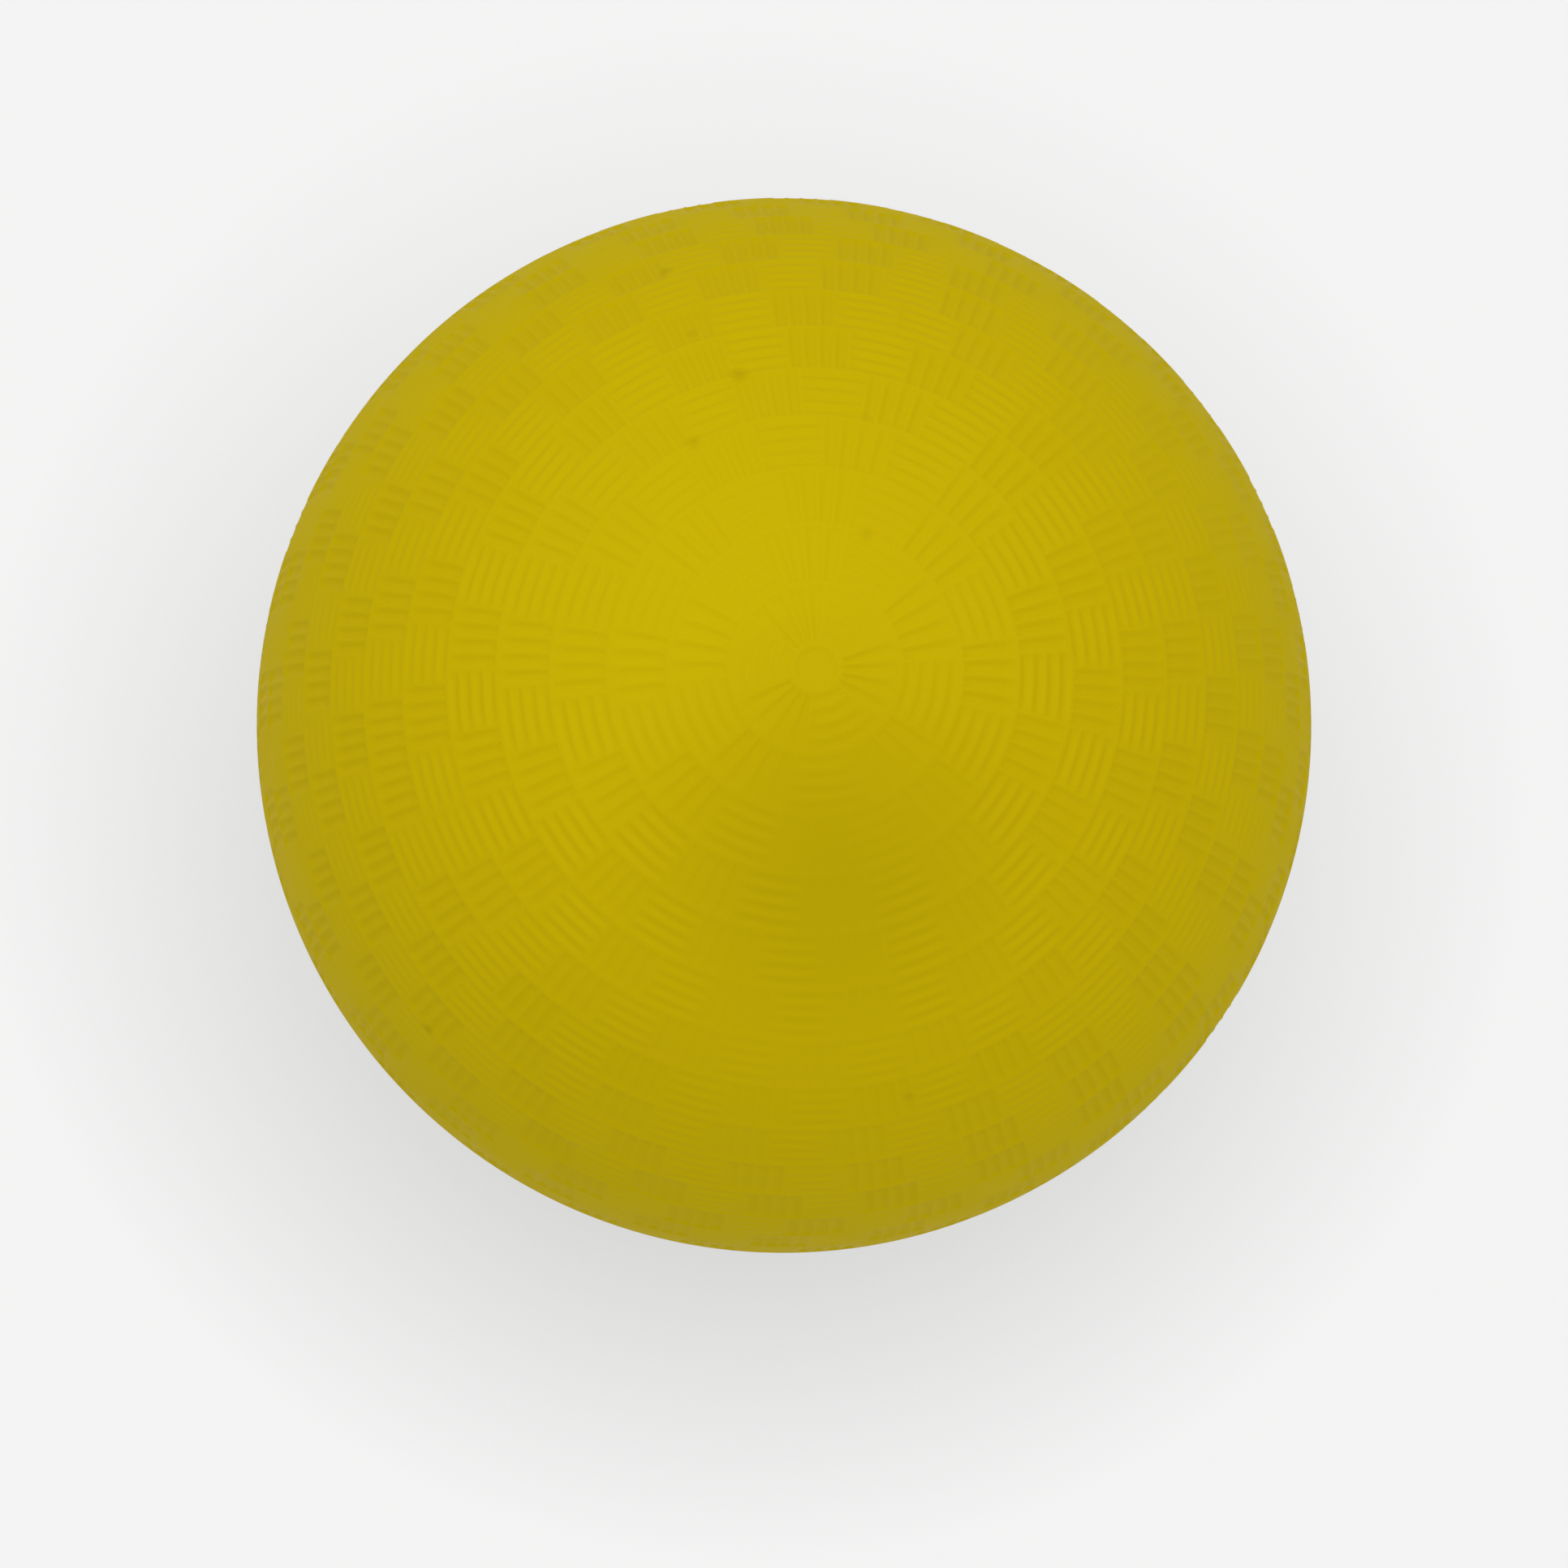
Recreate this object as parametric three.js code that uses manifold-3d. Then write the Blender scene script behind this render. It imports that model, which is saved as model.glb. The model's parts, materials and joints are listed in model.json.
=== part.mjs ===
// A rubber gymnastics ball: two moulded cover halves vulcanised round an airtight bladder,
// with a needle valve in the lower half. Millimetres, +Z up, standing on z = 0.
import * as THREE from "three";
import { mergeVertices } from "three/addons/utils/BufferGeometryUtils.js";
import Module from "manifold-3d";

const wasm = await Module();
wasm.setup();

// Ball
const BALL_DIAMETER = 180;
const COVER_WALL = 2;
const BLADDER_WALL = 1;
const SEAM_LAP = 2;
const REST_PATCH_DIAMETER = 19;

// Gaps left for the bond between rubber pieces and for the valve insert's fit
const BOND_GAP = 0.3;
const FIT_GAP = 0.3;

// Valve: its axis points to the back and this many degrees below the horizontal
const VALVE_DROP_DEGREES = 25;
const VALVE_PAD_DIAMETER = 22;
const VALVE_PAD_DEPTH = 0.4;

// Valve housing, bonded to the inside of the bladder
const FLANGE_DIAMETER = 30;
const FLANGE_THICKNESS = 1.8;
const FLANGE_EDGE_THICKNESS = 0.8;
const SPIGOT_DIAMETER = 12;
const HUB_DIAMETER = 14;
const HUB_LENGTH = 15;
const HUB_CHAMFER = 1.2;
const HUB_FILLET = 2;
const THROAT_DIAMETER = 5.6;
const THROAT_LENGTH = 5;
const CHAMBER_DIAMETER = 8;
const CHAMBER_LENGTH = 6;

// Valve insert, a self-sealing plug that takes an inflating needle
const HEAD_DIAMETER = 8;
const HEAD_RECESS = 0.2;
const HEAD_ROUNDING = 0.5;
const FUNNEL_DIAMETER = 3.4;
const FUNNEL_DEPTH = 1.5;
const NEEDLE_CHANNEL_DIAMETER = 1.6;
const BARREL_TAPER_LENGTH = 2.4;
const TIP_DIAMETER = 3.4;
const TIP_LENGTH = 3.5;
const TIP_WALL = 2.5;
const SLIT_LENGTH = 2.2;
const SLIT_WIDTH = 0.3;

// Facets
const RING_SIDES = 60;
const OUTER_STEPS = 15;
const INNER_STEPS = 10;
const VALVE_SIDES = 32;
const CURVE_STEPS = 4;
const CUT_OVERRUN = 1;

// Radii of the shells, from the ball's centre
const ballRadius = BALL_DIAMETER / 2;
const coverInnerRadius = ballRadius - COVER_WALL;
const bladderRadius = coverInnerRadius - BOND_GAP;
const bladderInnerRadius = bladderRadius - BLADDER_WALL;
const centreHeight = Math.sqrt(ballRadius ** 2 - (REST_PATCH_DIAMETER / 2) ** 2);
const quarterTurn = Math.PI / 2;

// Heights along the valve's axis, from the ball's centre
const padRadius = ballRadius - VALVE_PAD_DEPTH;
const headTop = padRadius - HEAD_RECESS;
const spigotTop = leastRadius(coverInnerRadius) - BOND_GAP;
const headUnderside = spigotTop + FIT_GAP;
const valveSeat = Math.sqrt(leastRadius(bladderInnerRadius) ** 2 - (FLANGE_DIAMETER / 2 + BOND_GAP) ** 2);
const flangeTop = valveSeat - BOND_GAP;
const hubEnd = flangeTop - HUB_LENGTH;
const chamberTop = spigotTop - THROAT_LENGTH;
const chamberBottom = chamberTop - CHAMBER_LENGTH;
const tipEnd = hubEnd - TIP_LENGTH;
const channelEnd = tipEnd + TIP_WALL;
const valveFrame = new THREE.Matrix4().makeRotationX(
  -quarterTurn - THREE.MathUtils.degToRad(VALVE_DROP_DEGREES),
);

const coverRubber = new THREE.MeshStandardMaterial({ color: 0xc8b102, roughness: 0.62, metalness: 0 });
const bladderRubber = new THREE.MeshStandardMaterial({ color: 0x232323, roughness: 0.55, metalness: 0 });
const housingRubber = new THREE.MeshStandardMaterial({ color: 0x2b2a28, roughness: 0.6, metalness: 0 });
const insertRubber = new THREE.MeshStandardMaterial({ color: 0xd8c98a, roughness: 0.5, metalness: 0 });

// The nearest that the flat facets of an inner wall come to the ball's centre.
function leastRadius(radius) {
  const halfSide = Math.PI / RING_SIDES;
  const halfStep = quarterTurn / INNER_STEPS / 2;
  return radius * Math.cos(halfSide) * Math.cos(halfStep);
}

// Profile points on a circle round the ball's centre, by their angle from the pole.
function arc(radius, fromAngle, toAngle, steps) {
  const points = [];
  for (let i = 0; i <= steps; i += 1) {
    const angle = fromAngle + ((toAngle - fromAngle) * i) / steps;
    points.push(new THREE.Vector2(radius * Math.sin(angle), radius * Math.cos(angle)));
  }
  return points;
}

// The angle from the top pole at which a wall's round turns into the flat that the ball rests on.
function restAngle(radius) {
  const depthInWall = ballRadius - radius;
  return Math.PI - Math.acos((centreHeight - depthInWall) / radius);
}

// The flat's middle, on the axis, for the wall of this radius.
function restCentre(radius) {
  return new THREE.Vector2(0, ballRadius - radius - centreHeight);
}

// A profile of points, listed upwards on its outer side, turned round the Z axis.
function revolve(points, sides) {
  const geometry = new THREE.LatheGeometry(points, sides);
  return geometry.rotateX(quarterTurn);
}

function solidOf(geometry) {
  const plain = geometry.clone();
  plain.deleteAttribute("normal");
  plain.deleteAttribute("uv");
  const merged = mergeVertices(plain);
  const mesh = new wasm.Mesh({
    numProp: 3,
    vertProperties: new Float32Array(merged.attributes.position.array),
    triVerts: new Uint32Array(merged.index.array),
  });
  return new wasm.Manifold(mesh);
}

function geometryOf(solid) {
  const mesh = solid.getMesh();
  const geometry = new THREE.BufferGeometry();
  geometry.setAttribute("position", new THREE.BufferAttribute(mesh.vertProperties, 3));
  geometry.setIndex(new THREE.BufferAttribute(mesh.triVerts, 1));
  const faceted = geometry.toNonIndexed();
  faceted.computeVertexNormals();
  return faceted;
}

function piece(name, geometry, material) {
  const mesh = new THREE.Mesh(geometry, material);
  mesh.name = name;
  return mesh;
}

// A cutting tool round the valve's axis, in the ball's own frame.
function valveTool(points) {
  return solidOf(revolve(points, VALVE_SIDES).applyMatrix4(valveFrame));
}

function valveBore(diameter, bottom) {
  const radius = diameter / 2;
  const top = ballRadius + CUT_OVERRUN;
  return valveTool([
    new THREE.Vector2(0, bottom),
    new THREE.Vector2(radius, bottom),
    new THREE.Vector2(radius, top),
    new THREE.Vector2(0, top),
  ]);
}

// The smooth round pad that the weave stops at: a shallow recess, parallel to the ball's surface.
function valvePadRecess() {
  const radius = VALVE_PAD_DIAMETER / 2;
  const top = ballRadius + CUT_OVERRUN;
  return valveTool([
    ...arc(padRadius, 0, Math.asin(radius / padRadius), CURVE_STEPS),
    new THREE.Vector2(radius, top),
    new THREE.Vector2(0, top),
  ]);
}

// The edge of a half's inner wall: the upper half's skived lip reaches down inside the lower half.
function seamLip(height) {
  const lipHeight = height - SEAM_LAP;
  return new THREE.Vector2(Math.sqrt(coverInnerRadius ** 2 - lipHeight ** 2), lipHeight);
}

function seamEdge(height) {
  return new THREE.Vector2(Math.sqrt(ballRadius ** 2 - height ** 2), height);
}

function upperCover() {
  const height = BOND_GAP / 2;
  const outer = arc(ballRadius, quarterTurn, 0, OUTER_STEPS).slice(1);
  const inner = arc(coverInnerRadius, 0, quarterTurn, INNER_STEPS);
  const lip = seamLip(height);
  return revolve([lip, seamEdge(height), ...outer, ...inner, lip.clone()], RING_SIDES);
}

function lowerCover() {
  const height = -BOND_GAP / 2;
  const outer = arc(ballRadius, restAngle(ballRadius), quarterTurn, OUTER_STEPS).slice(0, -1);
  const inner = arc(coverInnerRadius, quarterTurn, restAngle(coverInnerRadius), INNER_STEPS).slice(1);
  const half = revolve(
    [
      restCentre(ballRadius),
      ...outer,
      seamEdge(height),
      seamLip(height),
      ...inner,
      restCentre(coverInnerRadius),
    ],
    RING_SIDES,
  );
  const headBore = valveBore(HEAD_DIAMETER + 2 * FIT_GAP, bladderInnerRadius);
  return geometryOf(solidOf(half).subtract(valvePadRecess()).subtract(headBore));
}

// A full round wall surface, flat where the ball rests.
function roundBody(radius) {
  const lower = arc(radius, restAngle(radius), quarterTurn, INNER_STEPS);
  const upper = arc(radius, quarterTurn, 0, INNER_STEPS).slice(1);
  return revolve([restCentre(radius), ...lower, ...upper], RING_SIDES);
}

// The airtight inner ply. Its wall is thickened to a flat seat for the valve housing's flange.
function bladder() {
  const seatBlock = valveTool([
    new THREE.Vector2(0, valveSeat),
    new THREE.Vector2(ballRadius, valveSeat),
    new THREE.Vector2(ballRadius, ballRadius),
    new THREE.Vector2(0, ballRadius),
  ]);
  const airSpace = solidOf(roundBody(bladderInnerRadius)).subtract(seatBlock);
  const spigotBore = valveBore(SPIGOT_DIAMETER + 2 * BOND_GAP, valveSeat - CUT_OVERRUN);
  return geometryOf(solidOf(roundBody(bladderRadius)).subtract(airSpace).subtract(spigotBore));
}

// A quarter round between a hub's side and the flange above it, listed upwards.
function hubFillet(radius, flangeUnderside) {
  const points = [];
  for (let i = 0; i <= CURVE_STEPS; i += 1) {
    const angle = (quarterTurn * i) / CURVE_STEPS;
    const across = radius + HUB_FILLET * (1 - Math.cos(angle));
    const up = flangeUnderside - HUB_FILLET * (1 - Math.sin(angle));
    points.push(new THREE.Vector2(across, up));
  }
  return points;
}

// Flange, spigot and hub in one rubber moulding, with an undercut chamber that traps the insert.
function valveHousing() {
  const hub = HUB_DIAMETER / 2;
  const flange = FLANGE_DIAMETER / 2;
  const spigot = SPIGOT_DIAMETER / 2;
  const throat = THROAT_DIAMETER / 2;
  const chamber = CHAMBER_DIAMETER / 2;
  const profile = [
    new THREE.Vector2(throat, hubEnd),
    new THREE.Vector2(hub - HUB_CHAMFER, hubEnd),
    new THREE.Vector2(hub, hubEnd + HUB_CHAMFER),
    ...hubFillet(hub, flangeTop - FLANGE_THICKNESS),
    new THREE.Vector2(flange, flangeTop - FLANGE_EDGE_THICKNESS),
    new THREE.Vector2(flange, flangeTop),
    new THREE.Vector2(spigot, flangeTop),
    new THREE.Vector2(spigot, spigotTop),
    new THREE.Vector2(throat, spigotTop),
    new THREE.Vector2(throat, chamberTop),
    new THREE.Vector2(chamber, chamberTop),
    new THREE.Vector2(chamber, chamberBottom),
    new THREE.Vector2(throat, chamberBottom),
    new THREE.Vector2(throat, hubEnd),
  ];
  return revolve(profile, VALVE_SIDES);
}

// Head, neck, trapped barrel and duck-bill tip, with a blind needle channel and a slit at its end.
function valveInsert() {
  const head = HEAD_DIAMETER / 2;
  const neck = THROAT_DIAMETER / 2 - FIT_GAP;
  const barrel = CHAMBER_DIAMETER / 2 - FIT_GAP;
  const barrelTop = chamberTop - FIT_GAP;
  const barrelBottom = chamberBottom + FIT_GAP;
  const channel = NEEDLE_CHANNEL_DIAMETER / 2;
  const profile = [
    new THREE.Vector2(0, tipEnd),
    new THREE.Vector2(TIP_DIAMETER / 2, tipEnd),
    new THREE.Vector2(neck, hubEnd),
    new THREE.Vector2(neck, barrelBottom),
    new THREE.Vector2(barrel, barrelBottom + BARREL_TAPER_LENGTH),
    new THREE.Vector2(barrel, barrelTop),
    new THREE.Vector2(neck, barrelTop),
    new THREE.Vector2(neck, headUnderside),
    new THREE.Vector2(head, headUnderside),
    new THREE.Vector2(head, headTop - HEAD_ROUNDING),
    new THREE.Vector2(head - HEAD_ROUNDING, headTop),
    new THREE.Vector2(FUNNEL_DIAMETER / 2, headTop),
    new THREE.Vector2(channel, headTop - FUNNEL_DEPTH),
    new THREE.Vector2(channel, channelEnd),
    new THREE.Vector2(0, channelEnd),
  ];
  const slitDepth = TIP_WALL + 2 * CUT_OVERRUN;
  const slit = new THREE.BoxGeometry(SLIT_LENGTH, SLIT_WIDTH, slitDepth);
  slit.translate(0, 0, tipEnd + slitDepth / 2 - CUT_OVERRUN);
  return geometryOf(solidOf(revolve(profile, VALVE_SIDES)).subtract(solidOf(slit)));
}

const ball = new THREE.Group();
const shell = new THREE.Group();
shell.position.z = centreHeight;
shell.add(piece("upper_cover", upperCover(), coverRubber));
shell.add(piece("lower_cover", lowerCover(), coverRubber));
shell.add(piece("bladder", bladder(), bladderRubber));
const valve = new THREE.Group();
valve.setRotationFromMatrix(valveFrame);
valve.add(piece("valve_housing", valveHousing(), housingRubber));
valve.add(piece("valve_insert", valveInsert(), insertRubber));
shell.add(valve);
ball.add(shell);

export default ball;
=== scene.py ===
"""Looks of a rubber gymnastics ball: a moulded basket-weave cover round a bladder with a needle valve."""
import json
import logging
import math
from contextlib import contextmanager
from dataclasses import dataclass, field, replace
from enum import Enum
from typing import Iterator, Sequence

import bmesh
import bpy
from mathutils import Matrix, Vector

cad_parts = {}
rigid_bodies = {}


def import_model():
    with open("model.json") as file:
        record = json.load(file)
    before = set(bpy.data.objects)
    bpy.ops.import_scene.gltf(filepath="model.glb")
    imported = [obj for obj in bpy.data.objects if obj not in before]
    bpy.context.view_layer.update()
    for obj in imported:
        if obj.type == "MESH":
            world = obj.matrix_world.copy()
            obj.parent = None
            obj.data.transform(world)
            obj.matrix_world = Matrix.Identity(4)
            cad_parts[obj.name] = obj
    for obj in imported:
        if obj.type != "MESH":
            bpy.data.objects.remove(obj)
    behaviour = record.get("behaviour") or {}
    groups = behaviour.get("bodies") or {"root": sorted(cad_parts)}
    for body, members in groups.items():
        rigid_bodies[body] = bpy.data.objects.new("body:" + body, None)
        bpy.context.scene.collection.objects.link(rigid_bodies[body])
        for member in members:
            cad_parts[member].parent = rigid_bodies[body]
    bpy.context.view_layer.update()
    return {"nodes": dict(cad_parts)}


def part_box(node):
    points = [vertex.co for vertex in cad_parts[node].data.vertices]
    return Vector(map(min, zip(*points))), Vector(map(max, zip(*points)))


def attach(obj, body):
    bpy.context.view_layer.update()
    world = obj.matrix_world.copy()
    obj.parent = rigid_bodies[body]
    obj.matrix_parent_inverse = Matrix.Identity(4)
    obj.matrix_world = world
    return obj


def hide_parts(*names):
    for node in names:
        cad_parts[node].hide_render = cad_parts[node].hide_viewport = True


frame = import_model()

MM = 0.001
BODY = "root"
MERGE_REACH = 0.002 * MM  # points closer than this are one point
LOG = logging.getLogger("gymnastics_ball")

Colour = tuple[float, float, float]
Direction = tuple[float, float, float]
Range = tuple[float, float]
Offset = tuple[float, float]
Socket = bpy.types.NodeSocket

# Sockets of Blender's nodes. A Mix node repeats its names for each kind of data, so its colours go by place.
RANGE_SOCKETS = ("From Min", "From Max", "To Min", "To Max")
MIX_SHARE = 0
MIX_FIRST = 6
MIX_SECOND = 7
MIX_RESULT = 2


class Half(Enum):
    """Which half of the moulded cover, by the name of its CAD node."""

    UPPER = "upper_cover"
    LOWER = "lower_cover"


class Grain(Enum):
    """Which way the grooves of a weave square run."""

    ALONG_RING = "along_ring"
    ALONG_MERIDIAN = "along_meridian"


class Combine(Enum):
    """How a material puts two values together, by Blender's name for it."""

    PRODUCT = "MULTIPLY"
    LARGER = "MAXIMUM"


@dataclass(frozen=True)
class BallSizes:
    """What every piece shares, in metres.

    Args:
        radius: Outer radius on the lands of the weave.
        centre: Middle of the ball.
    """

    radius: float
    centre: Vector

    @classmethod
    def from_frame(cls) -> "BallSizes":
        """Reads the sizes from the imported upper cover, which reaches from the seam to the pole.

        Returns:
            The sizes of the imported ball.
        """
        low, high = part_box(Half.UPPER.value)
        radius = (high.x - low.x) / 2
        return cls(radius=radius, centre=Vector((0, 0, high.z - radius)))


def deselect_all() -> None:
    """Leaves nothing selected, so that an operator acts on its own piece alone."""
    for item in bpy.context.view_layer.objects:
        item.select_set(False)


def pick(piece: bpy.types.Object) -> None:
    """Makes a piece the only selected one and the active one.

    Args:
        piece: The piece to pick.
    """
    deselect_all()
    piece.select_set(True)
    bpy.context.view_layer.objects.active = piece


def rename(piece: bpy.types.Object, name: str) -> None:
    """Names a piece and its mesh."""
    piece.name = name
    piece.data.name = name


@contextmanager
def editing(piece: bpy.types.Object) -> Iterator[bmesh.types.BMesh]:
    """Opens a piece in edit mode, with edges as what is selected.

    Args:
        piece: The piece to open.

    Returns:
        Its edit mesh, for selecting by place.
    """
    pick(piece)
    bpy.ops.object.mode_set(mode="EDIT")
    bpy.context.tool_settings.mesh_select_mode = (False, True, False)
    yield bmesh.from_edit_mesh(piece.data)
    bpy.ops.object.mode_set(mode="OBJECT")


def merge_doubles() -> None:
    """Merges the vertices of the open piece that lie in one place."""
    bpy.ops.mesh.select_all(action="SELECT")
    bpy.ops.mesh.remove_doubles(threshold=MERGE_REACH)


def join(pieces: Sequence[bpy.types.Object], name: str) -> bpy.types.Object:
    """Joins pieces into the first one.

    Args:
        pieces: The pieces to join.
        name: Name of the joined piece.

    Returns:
        The joined piece.
    """
    pick(pieces[0])
    for piece in pieces:
        piece.select_set(True)
    bpy.ops.object.join()
    joined = bpy.context.object
    rename(joined, name)
    return joined


def turned(name: str, outline: Sequence[Vector], sides: int) -> bpy.types.Object:
    """Turns a closed solid about Z, from a circle that is extruded along an outline.

    Args:
        name: Name of the piece.
        outline: Points as (radius, height), off the axis, from one end cap to the other.
        sides: How many sides a turn has.

    Returns:
        The turned piece, capped at both ends.
    """
    first = outline[0]
    deselect_all()
    bpy.ops.mesh.primitive_circle_add(
        vertices=sides, radius=first.x, fill_type="NGON", location=(0, 0, 0)
    )
    piece = bpy.context.object
    rename(piece, name)
    piece.data.transform(Matrix.Translation((0, 0, first.y)))
    with editing(piece):
        bpy.ops.mesh.select_all(action="SELECT")
        for before, after in zip(outline, outline[1:]):
            extrude_loop(before, after)
        bpy.ops.mesh.edge_face_add()
        bpy.ops.mesh.select_all(action="SELECT")
        bpy.ops.mesh.normals_make_consistent(inside=False)
    return piece


def extrude_loop(before: Vector, after: Vector) -> None:
    """Extrudes the selected round loop of edges by one step of an outline.

    Args:
        before: Where the loop is, as (radius, height).
        after: Where it goes, as (radius, height).
    """
    step = (0, 0, after.y - before.y)
    bpy.ops.mesh.extrude_edges_move(TRANSFORM_OT_translate={"value": step})
    scale = after.x / before.x
    bpy.ops.transform.resize(value=(scale, scale, 1), center_override=(0, 0, after.y))


def shade(piece: bpy.types.Object, angle: float) -> None:
    """Shades a piece smoothly, apart from edges that are sharper than an angle."""
    pick(piece)
    bpy.ops.object.shade_smooth_by_angle(angle=angle)


def dress(piece: bpy.types.Object, material: bpy.types.Material) -> None:
    """Gives a piece one material all over."""
    piece.data.materials.clear()
    piece.data.materials.append(material)


def report(piece: bpy.types.Object) -> None:
    """Reports a finished piece."""
    LOG.info("%s: %d faces", piece.name, len(piece.data.polygons))


def on_ball(radius: float, polar: float, azimuth: float) -> Vector:
    """The point at a radius and at two angles, from the pole and round it."""
    across = radius * math.sin(polar)
    return Vector((across * math.cos(azimuth), across * math.sin(azimuth), radius * math.cos(polar)))


def eased(share: float) -> float:
    """A share from 0 to 1, eased in and out."""
    return share**2 * (3 - 2 * share)


@dataclass(frozen=True)
class Patch:
    """A round patch of the cover that departs from the rest, most in its middle and not at its edge.

    Args:
        polar: Angle of its middle from the pole, in degrees.
        azimuth: Angle of its middle round the pole, in degrees.
        reach: Angle from its middle to its edge, in degrees.
        amount: How far its middle departs, as a share.
    """

    polar: float
    azimuth: float
    reach: float
    amount: float

    def middle(self, radius: float) -> Vector:
        """Its middle, from the ball's centre."""
        return on_ball(radius, math.radians(self.polar), math.radians(self.azimuth))

    def span(self, radius: float) -> float:
        """Straight distance from its middle to its edge."""
        return 2 * radius * math.sin(math.radians(self.reach) / 2)

    def at(self, point: Vector) -> float:
        """Tells how far the cover departs at a point.

        Args:
            point: A point on the ball, from the ball's centre.

        Returns:
            The share there: the whole amount in the middle, and nothing from the edge on.
        """
        radius = point.length
        inside = max(0.0, 1 - (point - self.middle(radius)).length / self.span(radius))
        return self.amount * eased(inside)


@dataclass(frozen=True)
class GrooveStep:
    """One step of a groove's side.

    Args:
        inset: How far it draws in.
        drop: How far it sinks.
    """

    inset: float
    drop: float


@dataclass(frozen=True)
class WeaveRing:
    """One ring of weave squares round the pole.

    Args:
        squares: How many squares the ring has.
        turn: Where its first square with grooves along the ring starts, in degrees.
        slips: Squares that repeat the grain of the square before them.
        along: Share of the full depth that grooves along the ring are cut to, less near the seam so that
            the mould lets go of them.
        across: Share of the full depth that grooves along the meridian are cut to.
    """

    squares: int
    turn: float
    slips: tuple[int, ...] = ()
    along: float = 0.72
    across: float = 1.0

    def share(self, grain: Grain) -> float:
        """Share of the full depth that grooves of a grain are cut to."""
        return self.along if grain is Grain.ALONG_RING else self.across


@dataclass(frozen=True)
class Weave:
    """The moulded basket weave: rings of squares, each square a bundle of shallow grooves.

    Args:
        grooves: Grooves to a square.
        first_polar: Angle from the pole at which the first ring starts.
        ring_span: Angle from one ring to the next.
        gap: Land between two rings.
        steps: Steps of a groove's side, at its full depth.
        wear: Patches where the grooves are worn shallower.
        rings: The rings from the pole to the seam.
    """

    grooves: int = 4
    first_polar: float = math.radians(2.34)
    ring_span: float = math.radians(6.04)
    gap: float = 0.2 * MM
    steps: tuple[GrooveStep, ...] = (
        GrooveStep(0.3 * MM, 0.09 * MM),
        GrooveStep(0.4 * MM, 0.32 * MM),
        GrooveStep(0.34 * MM, 0.15 * MM),
    )
    wear: tuple[Patch, ...] = (
        Patch(polar=23, azimuth=228, reach=170, amount=0.49),
        Patch(polar=37, azimuth=268, reach=36, amount=0.63),
        Patch(polar=17, azimuth=287, reach=17, amount=0.64),
        Patch(polar=50, azimuth=32, reach=38, amount=0.45),
    )
    rings: tuple[WeaveRing, ...] = (
        WeaveRing(6, 22),
        WeaveRing(10, 41),
        WeaveRing(16, 10),
        WeaveRing(22, 22, along=0.9),
        WeaveRing(28, 2, along=0.8),
        WeaveRing(34, 9, along=0.75),
        WeaveRing(38, 10, (7, 20), along=0.54),
        WeaveRing(42, 2, (22, 36), along=0.43),
        WeaveRing(48, 10.5, along=0.34),
        WeaveRing(50, 9, along=0.27),
        WeaveRing(54, 4, along=0.26),
        WeaveRing(54, 9, along=0.26),
        WeaveRing(56, 2, along=0.25),
        WeaveRing(56, 7.5, along=0.22, across=0.9),
        WeaveRing(56, 1, along=0.2, across=0.5),
    )

    def left_at(self, point: Vector) -> float:
        """The share of a groove's depth that wear leaves at a point, given from the ball's centre."""
        return math.prod(1 - patch.at(point) for patch in self.wear)


@dataclass(frozen=True)
class Band:
    """One ring of the skin before it is wrapped on the ball: a flat grid of groove cells.

    Args:
        top: Polar angle of the edge nearer to the pole.
        bottom: Polar angle of the other edge.
        rows: Cells from edge to edge.
        square: Columns to a weave square.
        ring: The ring's squares.
        turn: Azimuth of the first column.
        radius: Radius of the ball on the lands.
        weave: The weave that the ring belongs to.
    """

    top: float
    bottom: float
    rows: int
    square: int
    ring: WeaveRing
    turn: float
    radius: float
    weave: Weave

    @property
    def columns(self) -> int:
        """Cells round the ring."""
        return self.square * self.ring.squares

    @property
    def length(self) -> float:
        """Length of the ring at its middle."""
        return math.tau * self.radius * math.sin((self.top + self.bottom) / 2)

    @property
    def height(self) -> float:
        """Height of the ring."""
        return self.radius * (self.bottom - self.top)

    def grain(self, column: int) -> Grain:
        """Tells which way the grooves run in a column of cells.

        Args:
            column: Place of the column, from the first one.

        Returns:
            The grain of the weave square that the column is in.
        """
        place = column // self.square % self.ring.squares
        slipped = sum(slip <= place for slip in self.ring.slips)
        return Grain.ALONG_MERIDIAN if (place + slipped) % 2 else Grain.ALONG_RING

    def parts_grooves(self, start: Vector, end: Vector) -> bool:
        """Tells if an edge of the flat grid lies between two grooves.

        Args:
            start: One end of the edge.
            end: The other end.

        Returns:
            True where the skin is parted there.
        """
        middle = (start + end) / 2
        place = middle.x / self.length * self.columns
        upright = abs(start.x - end.x) < MERGE_REACH
        if not upright:
            return self.grain(int(place)) is Grain.ALONG_RING
        line = round(place)
        return line % self.square == 0 or self.grain(line) is Grain.ALONG_MERIDIAN

    def wrapped(self, point: Vector) -> Vector:
        """Moves a point from the flat grid to its place on the ball.

        Args:
            point: A point of the grid, with its depth in the groove as Z.

        Returns:
            Its place, from the ball's centre.
        """
        place = point.x / self.length
        polar = self.bottom - point.y / self.radius
        land = on_ball(self.radius, polar, self.turn + place * math.tau)
        grain = self.grain(int(place * self.columns))
        depth = self.ring.share(grain) * self.weave.left_at(land)
        return land * (1 + point.z * depth / self.radius)


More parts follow.
